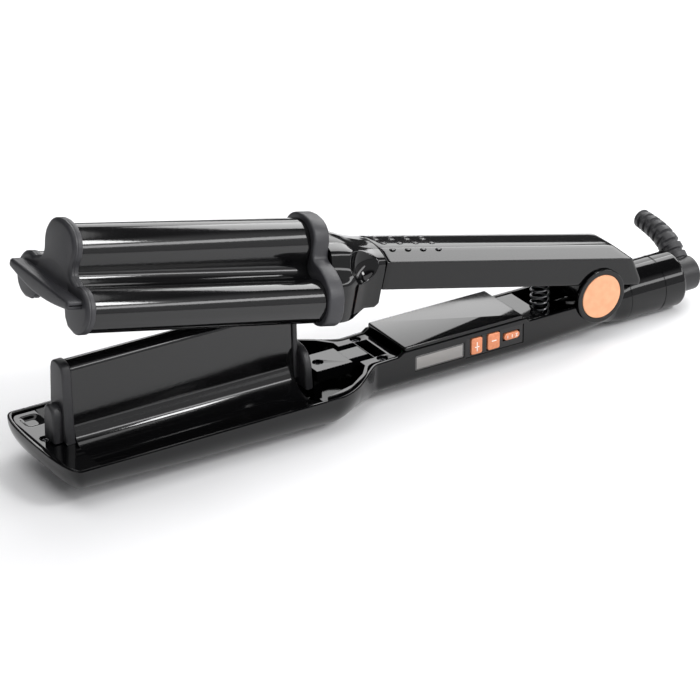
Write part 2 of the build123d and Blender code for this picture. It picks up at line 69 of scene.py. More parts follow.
def camera():
    """Long-lens camera 32 degrees to the side and 26 degrees above the lower arm."""
    azimuth, elevation, distance = np.radians(-32.3), np.radians(26.25), 1.44
    target = np.array([-118.5, 0.0, 21.0]) * MM + foot
    level = np.cos(elevation)
    back = np.array([np.sin(azimuth) * level, -np.cos(azimuth) * level, np.sin(elevation)])
    data = bpy.data.cameras.new("camera")
    data.sensor_width = 36.0
    data.lens = 176.1
    data.clip_end = 20.0
    eye = bpy.data.objects.new("camera", data)
    eye.location = target + distance * back
    eye.rotation_euler = look_at(eye.location, target)
    bpy.context.scene.collection.objects.link(eye)
    bpy.context.scene.camera = eye


def softbox(name, direction, distance, size, power):
    """Rectangular lamp facing the tool from an azimuth, taken from +Y towards +X, and an elevation."""
    azimuth, elevation = np.radians(direction)
    level = np.cos(elevation)
    offset = np.array([np.sin(azimuth) * level, np.cos(azimuth) * level, np.sin(elevation)])
    target = np.array([-100.0, 0.0, 40.0]) * MM + foot
    data = bpy.data.lights.new(name, "AREA")
    data.shape = "RECTANGLE"
    data.size, data.size_y = size
    data.energy = power
    lamp = bpy.data.objects.new(name, data)
    lamp.location = target + distance * offset
    lamp.rotation_euler = look_at(lamp.location, target)
    bpy.context.scene.collection.objects.link(lamp)


def linear(code):
    """sRGB hex colour as linear RGBA."""
    value = np.array([int(code[i : i + 2], 16) for i in (1, 3, 5)]) / 255.0
    value = np.where(value <= 0.04045, value / 12.92, ((value + 0.055) / 1.055) ** 2.4)
    return (*value.tolist(), 1.0)


def add(tree, kind, inputs=None, **settings):
    """Adds a node with its properties, and with values or other nodes' sockets on its inputs."""
    node = tree.nodes.new(kind)
    for key, value in settings.items():
        setattr(node, key, value)
    for key, value in (inputs or {}).items():
        if isinstance(value, bpy.types.NodeSocket):
            tree.links.new(value, node.inputs[key])
        else:
            node.inputs[key].default_value = value
    return node


def spread(tree, value, span, low=0.0, high=1.0):
    """Value carried from a low to high range onto a span, as a socket."""
    inputs = {"Value": value, "From Min": low, "From Max": high, "To Min": span[0], "To Max": span[1]}
    return add(tree, "ShaderNodeMapRange", inputs).outputs["Result"]


def new_material(name):
    """New material, as (material, tree, shader)."""
    material = bpy.data.materials.new(name)
    material.use_nodes = True
    tree = material.node_tree
    shader = tree.nodes["Principled BSDF"]
    return material, tree, shader


camera()
bpy.context.scene.view_settings.view_transform = "Standard"
world = bpy.data.worlds.new("studio")
bpy.context.scene.world = world
world.use_nodes = True
sky = world.node_tree
way = add(sky, "ShaderNodeTexCoord")
split = add(sky, "ShaderNodeSeparateXYZ", {"Vector": way.outputs["Generated"]})
near_side = spread(sky, split.outputs["Y"], (0.0, 1.0), -0.02, -0.3)
below = spread(sky, split.outputs["Z"], (0.0, 1.0), 0.72, 0.6)
low_near = add(sky, "ShaderNodeMath", {0: near_side, 1: below}, operation="MULTIPLY")
glow = spread(sky, low_near.outputs[0], (0.08, 0.7))
sky.links.new(glow, sky.nodes["Background"].inputs["Strength"])
sky.nodes["Background"].inputs["Color"].default_value = linear("#F4F4F6")

floor_mesh = bpy.data.meshes.new("floor")
reach = 6.0
corners = [(-reach, -reach, 0), (reach, -reach, 0), (reach, reach, 0), (-reach, reach, 0)]
floor_mesh.from_pydata(corners, [], [(0, 1, 2, 3)])
floor = bpy.data.objects.new("floor", floor_mesh)
bpy.context.scene.collection.objects.link(floor)
# Flat white paint that hardly shines.
floor_paint, tree, shader = new_material("matt_white_floor_paint")
shader.inputs["Base Color"].default_value = linear("#F7F7F8")
shader.inputs["Roughness"].default_value = 0.9
shader.inputs["Specular IOR Level"].default_value = 0.1
floor_mesh.materials.append(floor_paint)

softbox("overhead", (0, 89), 2.2, (2.6, 2.6), 38)
softbox("pad_light", (34, 27), 1.6, (0.95, 0.75), 7)
softbox("facet_light", (68, 34), 1.6, (0.8, 0.75), 11)
softbox("edge_strip", (138, 26), 3.0, (4.6, 0.42), 36)
softbox("sparkle", (150, 43), 1.5, (0.32, 0.32), 7)


# ================================================================ black glossy case plastic
# High-gloss black ABS from a polished mould: mirror-like, with a faint long waviness from the
# cooling of the wall and hairline handling marks that only soften the reflections.
def grain(tree, scale, detail):
    """Noise over the object's own coordinates, as a socket."""
    place = add(tree, "ShaderNodeTexCoord").outputs["Object"]
    inputs = {"Vector": place, "Scale": scale, "Detail": detail}
    return add(tree, "ShaderNodeTexNoise", inputs).outputs["Fac"]


def bumped(tree, shader, height, strength, distance):
    """Gives a shader a fine relief, with its distance in metres."""
    inputs = {"Height": height, "Strength": strength, "Distance": distance}
    bump = add(tree, "ShaderNodeBump", inputs)
    tree.links.new(bump.outputs["Normal"], shader.inputs["Normal"])


def gloss_plastic():
    """Polished black moulding with a drifting sheen."""
    material, tree, shader = new_material("gloss_black_abs_moulded")
    sheen = spread(tree, grain(tree, 38.0, 4.0), (0.055, 0.10), 0.35, 0.75)
    tree.links.new(sheen, shader.inputs["Roughness"])
    bumped(tree, shader, grain(tree, 55.0, 1.0), 0.006, 0.002)
    shader.inputs["Base Color"].default_value = linear("#060607")
    shader.inputs["IOR"].default_value = 1.43
    return material


case_gloss = gloss_plastic()


# ================================================================ lower housing
# One deep black ABS moulding: a boat-shaped tray under the jaws that draws in through an S-shaped
# shoulder to a square-sided grip and a round collar. The near wall is cut out for display and keys.
def smooth(t):
    """Smooth step: three t squared less two t cubed, with t held between 0 and 1."""
    t = np.clip(t, 0.0, 1.0)
    return t * t * (3.0 - 2.0 * t)


axis_z = 12.6


def half_plan(inset):
    """Half of the rim's plan, from the collar forwards, as x, distance from the middle and the spine
    point that each place is drawn towards: a straight grip, an S-curve that is a smooth step of x, a
    straight tray and a superellipse nose, |x/a| to the 2.8 plus |y/b| to the 2.8 equal to one."""
    nose_start, nose_reach, power, spine_end = -261.2, 7.2, 2 / 2.8, -236.0
    panel_edges = [-39.8, -69.6, -70.5, -95.4]
    side = np.unique(
        np.concatenate(
            [
                np.linspace(13, -37, 26),
                [-37.2, -37.6, -38.0, -38.5],
                panel_edges,
                np.linspace(-38.5, -101, 40),
                [-101.3, -101.9, -102.6, -103.2, -103.5],
                np.linspace(-103.5, -146, 60),
                np.linspace(-146, nose_start, 42),
            ]
        )
    )[::-1]
    width = 15.0 + 16.2 * smooth(np.clip((-114.0 - side) / 29.0, 0, 1) ** 0.75)
    turn = np.linspace(np.pi / 2, 0, 33)[1:]
    nose_x = nose_start - (nose_reach - inset) * np.cos(turn) ** power
    nose_y = (31.2 - inset) * np.sin(turn) ** power
    x = np.concatenate([side, nose_x])
    y = np.concatenate([width - inset, nose_y])
    spine = x.copy()
    late = x <= spine_end
    step = np.hypot(np.diff(x[late], prepend=spine_end), np.diff(y[late], prepend=y[late][0]))
    run = np.cumsum(step)
    spine[late] = spine_end - 11.0 * np.sin(run / run[-1] * np.pi / 2)
    return x, y, spine


def hull(inset):
    """Grid of the housing's outer or inner face. Each row leaves the spine, runs flat, turns up through
    an elliptical corner, away = reach - corner (1 - sin t) and height = low - upright cos t, climbs the
    wall and ends on the rounded rim. Towards the collar the rows slide onto a circle."""
    x, y, spine = half_plan(inset)
    reach = np.hypot(x - spine, y)
    frontness = np.clip((-261.2 - x) / 7.2, 0, 1) ** 1.2
    heel, toe = 5.0 * smooth((x + 146.0) / 32.0), 2.4 * np.clip((-205.0 - x) / 57.0, 0, 1.15) ** 1.5
    bottom = inset + heel + toe
    places = [-262, -150, -132, -118, -38, -16, 0, 13]
    corner = np.interp(x, places, [27.5, 21.2, 17.0, 4.4, 4.4, 6.5, 8.0, 10.0]) - inset
    corner = np.minimum(corner - 9.0 * frontness, reach)
    places = [-128, -116, -103.5, -101, -38.5, -37, 13]
    rim = np.interp(x, places, [18.2, 19.2, 19.6, 21.2, 21.2, 19.5, 19.5])
    flat, arc = np.linspace(0, 1, 7)[:-1], np.linspace(0, np.pi / 2, 15)
    upright = np.minimum(corner, rim - bottom - 1.2)[:, None]
    low = bottom[:, None] + upright
    wall = np.array([0.8, 1.6, 3.3, 5.07, 6.84, 8.6, 9.8, 10.62]) / 11.35
    wall_rise = wall[None] * (rim[:, None] - 0.45 - low)
    away = np.concatenate(
        [
            flat[None] * (reach - corner)[:, None],
            (reach - corner)[:, None] + corner[:, None] * np.sin(arc)[None],
            np.repeat(reach[:, None], len(wall) + 1, axis=1),
            reach[:, None] - np.sign(0.95 - inset) * np.array([0.12, 0.4]),
            reach[:, None] + inset - 0.95,
        ],
        axis=1,
    )
    height = np.concatenate(
        [
            np.repeat(bottom[:, None], len(flat), axis=1),
            low - upright * np.cos(arc)[None],
            low + wall_rise,
            (rim - 0.45)[:, None],
            rim[:, None] - np.array([0.14, 0.02]),
            rim[:, None],
        ],
        axis=1,
    )
    step = np.hypot(np.diff(away, axis=1, prepend=0), np.diff(height, axis=1, prepend=height[:, :1]))
    share = np.cumsum(step, axis=1) / step.sum(axis=1)[:, None]
    ring = 11.7 - inset
    top = np.arcsin(6.9 / 11.7)
    angle = -np.pi / 2 + share * (np.pi / 2 + top)
    mix = smooth((x - 2.0) / 11.0)[:, None]
    away = (1 - mix) * away + mix * ring * np.cos(angle)
    height = (1 - mix) * height + mix * (axis_z + ring * np.sin(angle))
    direction = np.stack([x - spine, y], axis=1) / reach[:, None]
    half = np.stack([spine[:, None] + away * direction[:, :1], away * direction[:, 1:], height], axis=2)
    near = half * (1, -1, 1)
    return np.concatenate([near, half[::-1][1:]])


def quads(index):
    """Four-cornered faces between neighbours in a grid of point numbers."""
    return np.stack([index[:-1, :-1], index[1:, :-1], index[1:, 1:], index[:-1, 1:]], axis=-1)


def piece(name, shells, body, material, node=(), sharp=32.0):
    """One object from closed shells of points in millimetres and faces: seams are merged, faces turned
    outwards, edges sharper than an angle kept crisp, and the object put on its body."""
    mesh = bpy.data.meshes.new(name)
    points, faces, start = [], [], 0
    for shell_points, shell_faces in shells:
        points.append(shell_points)
        faces += [[start + i for i in face] for face in shell_faces]
        start += len(shell_points)
    mesh.from_pydata((np.concatenate(points) * MM + foot).tolist(), [], faces)
    work = bmesh.new()
    work.from_mesh(mesh)
    bmesh.ops.remove_doubles(work, verts=work.verts, dist=1e-6)
    bmesh.ops.dissolve_degenerate(work, edges=work.edges, dist=1e-6)
    bmesh.ops.recalc_face_normals(work, faces=work.faces)
    work.to_mesh(mesh)
    work.free()
    mesh.polygons.foreach_set("use_smooth", [True] * len(mesh.polygons))
    mesh.set_sharp_from_angle(angle=np.radians(sharp))
    mesh.materials.append(material)
    thing = bpy.data.objects.new(name, mesh)
    bpy.context.scene.collection.objects.link(thing)
    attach(thing, body)
    if node:
        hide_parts(*([node] if isinstance(node, str) else node))
    return thing


def revolve(profile, axis, centre, segments=72, closed=False):
    """Surface of revolution: pairs of place along an axis and radius, carried round it."""
    profile = np.array(profile, float)
    angle = np.linspace(0, 2 * np.pi, segments, endpoint=False)
    out = np.zeros((len(profile), segments, 3))
    others = [k for k in range(3) if k != axis]
    out[..., axis] = profile[:, :1]
    out[..., others[0]] = profile[:, 1:] * np.cos(angle)
    out[..., others[1]] = profile[:, 1:] * np.sin(angle)
    rows = len(profile)
    index = np.arange(rows * segments).reshape(rows, segments)
    index = np.concatenate([index, index[:, :1]], axis=1)
    if closed:
        index = np.concatenate([index, index[:1]])
    return out.reshape(-1, 3) + np.array(centre, float), quads(index).reshape(-1, 4).tolist()


outer, inner = hull(0.0), hull(1.9)
stations, rows = outer.shape[:2]
index = np.arange(stations * rows).reshape(stations, rows)
x_middle = (outer[:-1, -1, 0] + outer[1:, -1, 0]) / 2
z_middle = (outer[:-1, :-1, 2] + outer[:-1, 1:, 2]) / 2
near_wall = (outer[:-1, -5, 1] < -14.0)[:, None] & (outer[:-1, 1:, 1] < -14.9)
cut = np.zeros_like(near_wall)
for x_low, x_high, z_low, z_high in ((-95.4, -70.5, 11.0, 18.0), (-69.6, -39.8, 10.2, 19.2)):
    along_x = ((x_middle > x_low) & (x_middle < x_high))[:, None]
    cut |= near_wall & along_x & (z_middle > z_low) & (z_middle < z_high)
count = stations * rows
skin = np.concatenate([quads(index)[~cut], quads(index + count)[~cut]])
edges = []
padded_cut = np.pad(cut, 1)
sides = (
    ((0, 1), (0, 0), (0, 1)),
    ((2, 1), (1, 0), (1, 1)),
    ((1, 0), (0, 0), (1, 0)),
    ((1, 2), (0, 1), (1, 1)),
)
for shift, first, second in sides:
    beside = padded_cut[shift[0] :, shift[1] :][: cut.shape[0], : cut.shape[1]]
    i, j = np.nonzero(cut & ~beside)
    a, b = index[i + first[0], j + first[1]], index[i + second[0], j + second[1]]
    edges.append(np.stack([a, b, b + count, a + count], axis=1))
for end in (index[0], index[-1]):
    edges.append(np.stack([end[:-1], end[1:], end[1:] + count, end[:-1] + count], axis=1))
hull_points = np.concatenate([outer.reshape(-1, 3), inner.reshape(-1, 3)])
hull_faces = np.concatenate([skin, *edges]).tolist()
bend = np.linspace(0, 1, 12)
collar_profile = [(11.6 + 8.35 * t, 11.75 + 0.83 * smooth(t)) for t in bend]
collar_profile += [(19.95, 10.5), (11.6, 10.5)]
collar = revolve(collar_profile, 0, (0, 0, axis_z), closed=True)
shells = [(hull_points, hull_faces), collar]
piece("housing_shell", shells, "lower_arm", case_gloss, "lower_housing")


# ================================================================ decks and bracket
# Glossy black ABS inserts pressed into the tray: a deck in front with a finger dimple and a screw
# recess, a pocketed one behind, and the arm that holds the ridge plate's rear end.
def softened(node, name, width, body, material, angle=28.0):
    """The CAD piece merged into one skin, with its flat faces joined and its edges bevelled round."""
    mesh = frame["nodes"][node].data.copy()
    mesh.materials.clear()
    work = bmesh.new()
    work.from_mesh(mesh)
    bmesh.ops.remove_doubles(work, verts=work.verts, dist=2e-6)
    bmesh.ops.dissolve_limit(work, angle_limit=np.radians(1.0), verts=work.verts, edges=work.edges)
    work.to_mesh(mesh)
    work.free()
    mesh.polygons.foreach_set("use_smooth", [True] * len(mesh.polygons))
    mesh.set_sharp_from_angle(angle=np.radians(angle))
    mesh.materials.append(material)
    thing = bpy.data.objects.new(name, mesh)
    bpy.context.scene.collection.objects.link(thing)
    rounding = thing.modifiers.new("rounding", "BEVEL")
    rounding.width = width * MM
    rounding.segments = 3
    rounding.limit_method = "ANGLE"
    rounding.angle_limit = np.radians(angle)
    rounding.harden_normals = True
    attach(thing, body)
    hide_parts(node)
    return thing


def skinned(grid):
    """Closed shell from rings of points: faces between neighbouring rings and one face over each end."""
    count, around = grid.shape[:2]
    index = np.arange(count * around).reshape(count, around)
    faces = quads(np.concatenate([index, index[:, :1]], axis=1)).reshape(-1, 4).tolist()
    return grid.reshape(-1, 3), faces + [index[0].tolist(), index[-1].tolist()]


nose_x, nose_y, _ = half_plan(2.4)
deck_x = -253.4 - 12.5 * np.sin(np.linspace(0, np.pi / 2, 90))[:, None]
deck_half = np.interp(-deck_x, -nose_x, nose_y)
across = np.sin(np.linspace(-1, 1, 121) * np.pi / 2)[None]
deck_y = deck_half * across
dimple = ((np.abs(deck_x + 258.2) / 4.4) ** 4 + (np.abs(deck_y - 20.5) / 4.8) ** 4) ** 0.25
recess = np.hypot(deck_x + 261.0, deck_y - 3.2) / 2.6
deck_z = 17.5 - 1.3 * smooth((1.1 - dimple) / 0.6) - 1.1 * smooth((1.0 - recess) / 0.12)
deck_z -= 0.5 * smooth((np.abs(across) - 0.965) / 0.035) + 0.4 * smooth((-deck_x - 264.9) / 1.0)
deck_top = np.stack([np.broadcast_to(deck_x, deck_y.shape), deck_y, deck_z], axis=2)
deck_low = deck_top[:, ::-1] * (1, 1, 0) + (0, 0, 15.4)
shells = [skinned(np.concatenate([deck_top, deck_low], axis=1))]
piece("front_deck_insert", shells, "lower_arm", case_gloss, "front_deck")
softened("rear_deck", "rear_deck_insert", 0.45, "lower_arm", case_gloss)
softened("plate_bracket", "ridge_bracket", 0.7, "lower_arm", case_gloss)
softened("well_cover", "spring_well_cover", 0.4, "lower_arm", case_gloss)
softened("lower_spring_seat", "spring_seat", 0.4, "lower_arm", case_gloss)


# ================================================================ ridge plate
# Extruded aluminium with a glossy black ceramic coating: a tall thin ridge standing in a trough that
# curls up to the tray's rim. The coating is baked on and shows the faintest orange peel.
def plate_coating():
    """Glossy baked coating with orange peel and a drifting haze."""
    material, tree, shader = new_material("black_ceramic_coating_baked")
    haze = spread(tree, grain(tree, 24.0, 5.0), (0.08, 0.14), 0.3, 0.8)
    tree.links.new(haze, shader.inputs["Roughness"])
    bumped(tree, shader, grain(tree, 420.0, 2.0), 0.02, 0.0006)
    shader.inputs["Base Color"].default_value = linear("#0B0B0C")
    shader.inputs["IOR"].default_value = 1.55
    return material


plate_gloss = plate_coating()


def arc(centre, radius, start, end, count):
    """Points on a circle between two angles in degrees, measured from the first axis."""
    angle = np.radians(np.linspace(start, end, count))
    return np.stack([centre[0] + radius * np.cos(angle), centre[1] + radius * np.sin(angle)], axis=1)


def curve(points, per=8):
    """Smooth line through points: a uniform Catmull-Rom cubic between neighbours, with the two end
    points mirrored outwards to start and finish it."""
    p = np.array(points, float)
    p = np.concatenate([2 * p[:1] - p[1:2], p, 2 * p[-1:] - p[-2:-1]])
    t = np.arange(per)[:, None, None] / per
    a, b, c, d = p[:-3], p[1:-2], p[2:-1], p[3:]
    square, cube = 2 * a - 5 * b + 4 * c - d, 3 * b - a - 3 * c + d
    line = 0.5 * ((2 * b) + (c - a) * t + square * t**2 + cube * t**3)
    return np.concatenate([line.transpose(1, 0, 2).reshape(-1, p.shape[1]), p[-2:-1]])


def whole(half):
    """Closed outline from its right half, given from the top of the middle line to its bottom."""
    left = half[::-1] * (-1, 1)
    return np.concatenate([half, left[np.abs(left[:, 0]) > 1e-6]])


def prism(outline, low, high, radius, axis=0, steps=5):
    """Outline carried along an axis between two places. Its ends are rounded by rings that step
    inwards along the outline's normals on a quarter circle."""
    edge = np.roll(outline, -1, axis=0) - np.roll(outline, 1, axis=0)
    turned = np.stack([edge[:, 1], -edge[:, 0]], axis=1)
    normal = turned / np.maximum(np.linalg.norm(turned, axis=1), 1e-9)[:, None]
    after = np.roll(outline, -1, axis=0)
    area = np.sum(outline[:, 0] * after[:, 1] - after[:, 0] * outline[:, 1])
    normal *= np.sign(area)
    a = np.linspace(0, np.pi / 2, steps)
    inset = np.concatenate([radius * (1 - np.sin(a)), (radius * (1 - np.sin(a)))[::-1]])
    along = np.concatenate([low + radius * (1 - np.cos(a)), (high - radius * (1 - np.cos(a)))[::-1]])
    ring = outline[None] - inset[:, None, None] * normal[None]
    out = np.empty((len(along), len(outline), 3))
    others = [k for k in range(3) if k != axis]
    out[..., axis] = along[:, None]
    out[..., others[0]] = ring[..., 0]
    out[..., others[1]] = ring[..., 1]
    return skinned(out)


ridge_right = np.concatenate(
    [
        arc((0, 47.6), 4.4, 90, 0, 17),
        np.linspace((4.41, 47.0), (5.2, 25.5), 8),
        curve([(5.25, 24.3), (7.9, 18.2), (16.3, 14.2), (28.2, 17.4)], 12),
    ]
)
trough = curve([(16.3, 12.2), (6.6, 16.8), (3.4, 24.3)], 8)
under = np.concatenate([[(28.2, 15.6)], trough, [(2.6, 46.0), (0.0, 48.5)]])
ridge_outline = whole(np.concatenate([ridge_right, under]))
shells = [prism(ridge_outline, -252.5, -150.0, 0.15)]
piece("ridge_plate", shells, "lower_arm", plate_gloss, "lower_wave_plate")


# ================================================================ end caps of the ridge
# Glass-filled nylon end pieces, moulded with a fine spark-eroded texture that leaves them a dull grey
# black;
# these lower caps get a darker copy of the same nylon as painted shade. The front one carries a blunt
# thumb boss, and both are pushed onto the plate's ends.
def tones(tree, value, dark, light, low=0.0, high=1.0):
    """Value turned into a colour between two hex colours, as a socket."""
    ramp = add(tree, "ShaderNodeValToRGB", {"Fac": value})
    first, last = ramp.color_ramp.elements
    first.position, last.position = low, high
    first.color, last.color = linear(dark), linear(light)
    return ramp.outputs["Color"]


def cap_nylon(name, dark, light):
    """Textured nylon whose tone drifts softly between two hex colours."""
    material, tree, shader = new_material(name)
    tone = tones(tree, grain(tree, 60.0, 4.0), dark, light, 0.3, 0.75)
    tree.links.new(tone, shader.inputs["Base Color"])
    bumped(tree, shader, grain(tree, 1400.0, 3.0), 0.12, 0.0003)
    shader.inputs["Roughness"].default_value = 0.46
    shader.inputs["IOR"].default_value = 1.52
    return material


nylon = cap_nylon("matt_glass_filled_nylon_spark_eroded", "#28282B", "#303034")
# Darker copy of the same cap nylon: painted shade on the lower jaw's caps.
painted_shade_nylon = cap_nylon("painted_shade_glass_filled_nylon_spark_eroded", "#1C1C1E", "#242427")
front_half = np.concatenate(
    [
        curve([(0, 52.6), (2.6, 52.1), (4.4, 50.7), (5.3, 48.2)], 5)[:-1],
        curve([(5.3, 48.2), (5.8, 38), (6.4, 26), (6.8, 21.4), (7.0, 17.6)], 5),
        [(0, 17.6)],
    ]
)
thumb = np.concatenate([arc((0, 30), 4.2, 0, 180, 21), [(-4.2, 18.0), (4.2, 18.0)]])
piece(
    "ridge_front_cap",
    [prism(whole(front_half), -257.0, -252.6, 0.9), prism(thumb, -261.3, -256.2, 1.3)],
    "lower_arm",
    painted_shade_nylon,
    "lower_front_cap",
    40,
)
edge = curve([(0, 52.4), (2.9, 51.8), (4.6, 50.2), (5.2, 47), (5.8, 30), (6.6, 19)], 5)
blade = np.concatenate([edge, [(0, 19)]])
edge = curve([(0, 33), (5, 32.4), (9, 30.2), (11.3, 26), (12, 20)], 6)
collar_half = np.concatenate([edge, [(12, 15), (0, 15)]])
neck_half = np.array([(0, 30), (4.5, 30), (4.5, 16), (0, 16)])
piece(
    "ridge_rear_cap",
    [
        prism(whole(blade), -149.9, -147.7, 0.5),
        prism(whole(collar_half), -147.9, -144.1, 1.2),
        prism(whole(neck_half), -149.0, -144.9, 0.2),
    ],
    "lower_arm",
    painted_shade_nylon,
    "lower_rear_cap",
    40,
)


# ================================================================ grip cover
# Slightly crowned black ABS pad clipped over the lower grip. Its polished top mirrors whatever stands
# above it, so it looks pale where it sees the lamp.
def rounded_box(a0, a1, b0, b1, radius, count=7):
    """Rectangle outline with round corners."""
    low_a, high_a, low_b, high_b = a0 + radius, a1 - radius, b0 + radius, b1 - radius
    corners = ((high_a, high_b, 0), (low_a, high_b, 90), (low_a, low_b, 180), (high_a, low_b, 270))
    return np.concatenate([arc((a, b), radius, turn, turn + 90, count) for a, b, turn in corners])


pad = prism(rounded_box(-100.5, -40.0, -14.7, 14.7, 1.0), 21.2, 23.2, 0.7, axis=2)
rib = prism(rounded_box(-99.0, -42.0, -12.8, 12.8, 1.0), 19.8, 21.3, 0.1, axis=2)
piece("grip_pad", [pad, rib], "lower_arm", case_gloss, "lower_grip_cover")


# ================================================================ display
# Grey reflective liquid-crystal display behind a clear acrylic lens with a printed border. Unlit, it is
# a flat warm grey with a bright bevel along the lens's upper edge; its field is painted lighter towards
# the top as painted light.
def lens_acrylic():
    """Clear-coated lens: a grey field inside a printed border, with painted light that lightens it
    upwards.
    """
    material, tree, shader = new_material("acrylic_lens_over_grey_lcd")
    place = add(tree, "ShaderNodeTexCoord").outputs["Object"]
    low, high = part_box("display_window")
    centre, half, border = (low + high) / 2, (high - low) / 2, 0.8 * MM
    shift = (-centre[0], 0, -centre[2])
    local = add(tree, "ShaderNodeMapping", {"Vector": place, "Location": shift})
    split = add(tree, "ShaderNodeSeparateXYZ", {"Vector": local.outputs["Vector"]})
    inside = []
    for axis, extent in (("X", half[0]), ("Z", half[2])):
        size = add(tree, "ShaderNodeMath", {0: split.outputs[axis]}, operation="ABSOLUTE")
        limits = {0: size.outputs[0], 1: extent - border}
        inside.append(add(tree, "ShaderNodeMath", limits, operation="LESS_THAN").outputs[0])
    field = add(tree, "ShaderNodeMath", {0: inside[0], 1: inside[1]}, operation="MULTIPLY")
    # Painted light: the field's grey lightens from bottom to top.
    height = spread(tree, split.outputs["Z"], (0.0, 1.0), -half[2], half[2])
    mixed = add(tree, "ShaderNodeMix", {"Factor": field.outputs[0]}, data_type="RGBA")
    mixed.inputs["A"].default_value = linear("#3A3938")
    tree.links.new(tones(tree, height, "#72706E", "#84817E"), mixed.inputs["B"])
    tree.links.new(mixed.outputs["Result"], shader.inputs["Base Color"])
    shader.inputs["Roughness"].default_value = 0.12
    shader.inputs["Coat Weight"].default_value = 1.0
    shader.inputs["Coat Roughness"].default_value = 0.03
    return material


lens = prism(rounded_box(-95.35, -70.55, 11.05, 17.95, 0.6), -14.8, -13.6, 0.25, axis=1)
piece("display_lens", [lens], "lower_arm", lens_acrylic(), "display_window")


# ================================================================ key panel and keys
# Satin black panel with three keys in copper lacquer over metallised ABS. The plus and minus signs are
# raised and left pale, and the pill-shaped key switches the tool on.
def panel_plastic():
    """Satin black moulding with a fine grain."""
    material, tree, shader = new_material("satin_black_abs_moulded")
    bumped(tree, shader, grain(tree, 900.0, 2.0), 0.06, 0.0002)
    shader.inputs["Base Color"].default_value = linear("#0A0A0B")
    shader.inputs["Roughness"].default_value = 0.24
    return material


def copper_lacquer(name, hexes, roughness, fleck):
    """Copper-coloured lacquer: fine metal flakes vary the tone, and a clear coat keeps it smooth."""
    material, tree, shader = new_material(name)
    flake = grain(tree, fleck, 3.0)
    tone = tones(tree, flake, *hexes, 0.35, 0.65)
    tree.links.new(tone, shader.inputs["Base Color"])
    bumped(tree, shader, flake, 0.05, 0.0002)
    shader.inputs["Metallic"].default_value = 0.25
    shader.inputs["Roughness"].default_value = roughness
    shader.inputs["Coat Weight"].default_value = 0.35
    shader.inputs["Coat Roughness"].default_value = 0.12
    return material


panel_satin = panel_plastic()
key_copper = copper_lacquer("copper_lacquer_on_keys", ("#CF7C52", "#DC8C63"), 0.34, 900.0)
# Pale printed ink on the raised signs.
mark_white, tree, shader = new_material("pale_ink_pad_printed")
tone = tones(tree, grain(tree, 1500.0, 2.0), "#E6DCD4", "#F6F0EA")
tree.links.new(tone, shader.inputs["Base Color"])
shader.inputs["Roughness"].default_value = 0.5

softened("button_panel", "key_panel", 0.2, "lower_arm", panel_satin)


def key(name, x, z, corner, body, node, marks):
    """A key: rounded cap, stop flange behind the panel, and raised signs as small bars, each given by
    its place from the key's middle and its half sizes."""
    cap = prism(rounded_box(*x, *z, corner), -15.35, -12.8, 0.35, axis=1)
    lip = 0.65
    stop = rounded_box(x[0] - lip, x[1] + lip, z[0] - lip, z[1] + lip, corner)
    flange = prism(stop, -12.9, -12.4, 0.1, axis=1)
    piece(name, [cap, flange], body, key_copper, node, 40)
    bars = []
    for dx, dz, half_x, half_z in marks:
        mid_x, mid_z = (x[0] + x[1]) / 2 + dx, (z[0] + z[1]) / 2 + dz
        bar = rounded_box(mid_x - half_x, mid_x + half_x, mid_z - half_z, mid_z + half_z, 0.14, 3)
        bars.append(prism(bar, -15.5, -15.2, 0.08, axis=1, steps=3))
    piece(name + "_sign", bars, body, mark_white)


plus = [(0, -0.4, 1.1, 0.22), (0, 0.9, 0.22, 1.0), (0, -1.6, 0.22, 0.9)]
key("plus_key_cap", (-67.0, -61.4), (11.2, 18.7), 0.9, "plus_key", "plus_button", plus)
minus = [(0, 0.3, 1.2, 0.24)]
key("minus_key_cap", (-58.5, -52.4), (11.2, 18.7), 0.9, "minus_key", "minus_button", minus)
power = [(0, 0, 0.2, 0.75), (-2.3, 0, 0.18, 0.7), (2.3, 0, 0.18, 0.7)]
power += [(2.3, 0.62, 0.6, 0.16), (2.3, -0.62, 0.6, 0.16)]
key("power_key_cap", (-50.1, -42.1), (13.5, 16.7), 1.55, "power_key", "power_button", power)


# ================================================================ hinge covers
# Black glossy rings round copper-lacquered aluminium discs, pressed on both ends of the hinge pin.
hinge_z = hinge["pos_m"][2] / MM
disc_copper = copper_lacquer("copper_lacquer_on_hinge_disc", ("#E5A076", "#EAAA80"), 0.4, 300.0)
quarter = np.linspace(0, np.pi / 2, 6)
for side, word in ((-1, "near"), (1, "far")):
    lip = [(15.5, 12.3), *[(16.15 + 0.45 * np.sin(t), 11.85 + 0.45 * np.cos(t)) for t in quarter]]
    bead = [(16.6 - 0.35 * (1 - np.cos(t)), 10.45 - 0.35 * np.sin(t)) for t in quarter]
    rim = [*lip, *bead, (15.9, 10.05), (15.9, 0.0)]
    back = [(12.7, 0.0), (12.7, 4.0), (15.3, 4.0), (15.3, 12.1)]
    profile = np.array(back + rim)
    ring = revolve(profile * (side, 1), 1, (0, 0, hinge_z), 96)
    piece(f"hinge_cover_{word}", [ring], "lower_arm", case_gloss, f"hinge_ring_{word}", 30)
    crown = [(15.92, 0.0), (15.92, 9.9), (16.4, 9.95)]
    crown += [(16.4 + 0.3 * np.sin(t), 9.65 + 0.3 * np.cos(t)) for t in quarter]
    crown += [(16.7 + 0.2 * (1 - (r / 9.4) ** 2), r) for r in np.linspace(9.2, 0, 12)]
    disc = revolve(np.array(crown) * (side, 1), 1, (0, 0, hinge_z), 96)
    stands_for = f"hinge_disc_{word}"
    piece(f"copper_cover_{word}", [disc], "lower_arm", disc_copper, stands_for, 40)


